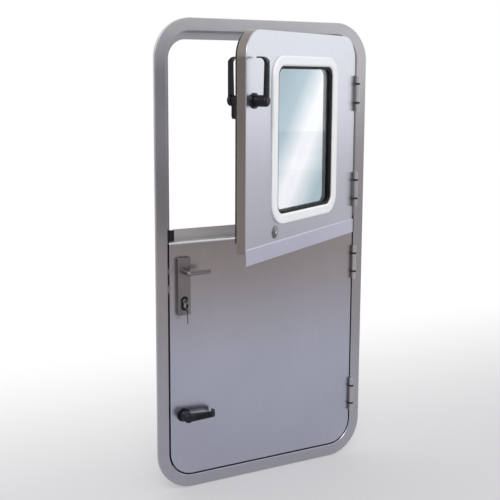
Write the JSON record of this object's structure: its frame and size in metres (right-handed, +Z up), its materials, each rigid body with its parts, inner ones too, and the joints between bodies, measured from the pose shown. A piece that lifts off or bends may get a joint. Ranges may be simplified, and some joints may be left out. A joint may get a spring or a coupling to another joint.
{
  "type": "watertight boat door",
  "caption": "Split watertight boat door in a flanged frame with round corners: windowed upper leaf ajar over a shut lower leaf, with black dog handles, a lever lock and barrel hinges.",
  "frame": {"origin": "middle of the frame's bottom edge, on the back of the flange, where the wall's skin is", "axes": "+Z up, +Y into the boat through the wall, +X to the hinge side (right, seen from outside)"},
  "size_m": [0.95, 0.5327, 1.8],
  "materials": {
    "frame_aluminium": "satin anodised",
    "leaf_aluminium": "satin anodised",
    "bright_trim": "bright anodised",
    "stainless": "brushed",
    "lock_metal": "satin",
    "key_metal": "nickel plated",
    "black_casting": "satin black",
    "seal_rubber": "matte",
    "washer_plastic": "matte",
    "window_glass": "clear"
  },
  "bodies": {
    "frame": {"frame": "frame_aluminium", "strike_plate": "stainless", "strike_screws": "stainless", "dog_keepers": "stainless", "hinge_pins": "stainless", "hinge_washers": "washer_plastic", "bottom_hinge_frame_leaf": "frame_aluminium", "lower_mid_hinge_frame_leaf": "frame_aluminium", "upper_mid_hinge_frame_leaf": "frame_aluminium", "top_hinge_frame_leaf": "frame_aluminium"},
    "lower_leaf": {"lower_leaf_panel": "leaf_aluminium", "lower_leaf_inner_skin": "leaf_aluminium", "lower_leaf_seal": "seal_rubber", "meeting_rail": "leaf_aluminium", "corner_seal_blocks": "seal_rubber", "bottom_hinge_door_leaf": "frame_aluminium", "lower_mid_hinge_door_leaf": "frame_aluminium", "lock_case": "lock_metal", "lock_forend": "stainless", "outer_lock_plate": "lock_metal", "inner_lock_plate": "lock_metal", "lock_plate_screws": "stainless", "lock_cylinder": "key_metal", "cylinder_escutcheons": "black_casting", "lower_dog_outer_rosette": "black_casting", "lower_dog_inner_rosette": "black_casting"},
    "lock_lever": {"outer_lever": "lock_metal", "inner_lever": "lock_metal", "lever_spindle": "stainless"},
    "latch": {"latch_bolt": "stainless"},
    "deadlock": {"dead_bolt": "stainless"},
    "key_plug": {"cylinder_plug": "key_metal", "key": "key_metal"},
    "spare_keys": {"key_ring": "key_metal", "spare_key": "key_metal"},
    "lower_dog": {"lower_dog_outer_grip": "black_casting", "lower_dog_inner_grip": "black_casting", "lower_dog_spindle": "stainless", "lower_dog_tongue": "black_casting"},
    "upper_leaf": {"upper_leaf_panel": "leaf_aluminium", "upper_leaf_inner_skin": "leaf_aluminium", "upper_leaf_seal": "seal_rubber", "cover_strip": "bright_trim", "window_outer_ring": "bright_trim", "window_inner_ring": "bright_trim", "window_gasket": "seal_rubber", "window_glass": "window_glass", "window_screws": "stainless", "upper_mid_hinge_door_leaf": "frame_aluminium", "top_hinge_door_leaf": "frame_aluminium", "upper_dog_outer_rosette": "black_casting", "upper_dog_inner_rosette": "black_casting", "turn_latch_rosette": "stainless"},
    "upper_dog": {"upper_dog_outer_grip": "black_casting", "upper_dog_inner_grip": "black_casting", "upper_dog_spindle": "stainless", "upper_dog_tongue": "black_casting"},
    "turn_latch": {"turn_latch_spindle": "stainless", "turn_latch_knob": "black_casting", "turn_latch_cam": "stainless"}
  },
  "joints": [
    {"name": "lower_leaf_swing", "type": "hinge", "parent": "frame", "child": "lower_leaf", "pos_m": [0.426, -0.0225, 0.545], "axis": [0, 0, 1], "range_deg": [0, 90]},
    {"name": "upper_leaf_swing", "type": "hinge", "parent": "lower_leaf", "child": "upper_leaf", "pos_m": [0.426, -0.0225, 1.329], "axis": [0, 0, 1], "range_deg": [-28, 62]},
    {"name": "lever_lift", "type": "hinge", "parent": "lower_leaf", "child": "lock_lever", "pos_m": [-0.367, -0.012, 0.863], "axis": [0, -1, 0], "range_deg": [0, 40]},
    {"name": "latch_slide", "type": "slide", "parent": "lower_leaf", "child": "latch", "axis": [-1, 0, 0], "range_m": [0, 0.012]},
    {"name": "key_turn", "type": "hinge", "parent": "lower_leaf", "child": "key_plug", "pos_m": [-0.367, -0.03, 0.749], "axis": [0, -1, 0], "range_deg": [0, 90]},
    {"name": "deadlock_slide", "type": "slide", "parent": "lower_leaf", "child": "deadlock", "axis": [-1, 0, 0], "range_m": [0, 0.012]},
    {"name": "spare_keys_swing", "type": "hinge", "parent": "key_plug", "child": "spare_keys", "pos_m": [-0.367, -0.052, 0.7474], "axis": [0, 1, 0], "range_deg": [-30, 30]},
    {"name": "lower_dog_turn", "type": "hinge", "parent": "lower_leaf", "child": "lower_dog", "pos_m": [-0.368, -0.012, 0.298], "axis": [0, 1, 0], "range_deg": [0, 90]},
    {"name": "upper_dog_turn", "type": "hinge", "parent": "upper_leaf", "child": "upper_dog", "pos_m": [-0.27999, -0.38599, 1.507], "axis": [-0.4695, 0.8829, 0], "range_deg": [0, 90]},
    {"name": "turn_latch_turn", "type": "hinge", "parent": "upper_leaf", "child": "turn_latch", "pos_m": [-0.14843, -0.31604, 1.036], "axis": [-0.4695, 0.8829, 0], "range_deg": [0, 90]}
  ],
  "couplings": [
    {"joint": "latch_slide", "follows": "lever_lift", "m_per_rad": 0.017189},
    {"joint": "deadlock_slide", "follows": "key_turn", "m_per_rad": 0.007639}
  ]
}
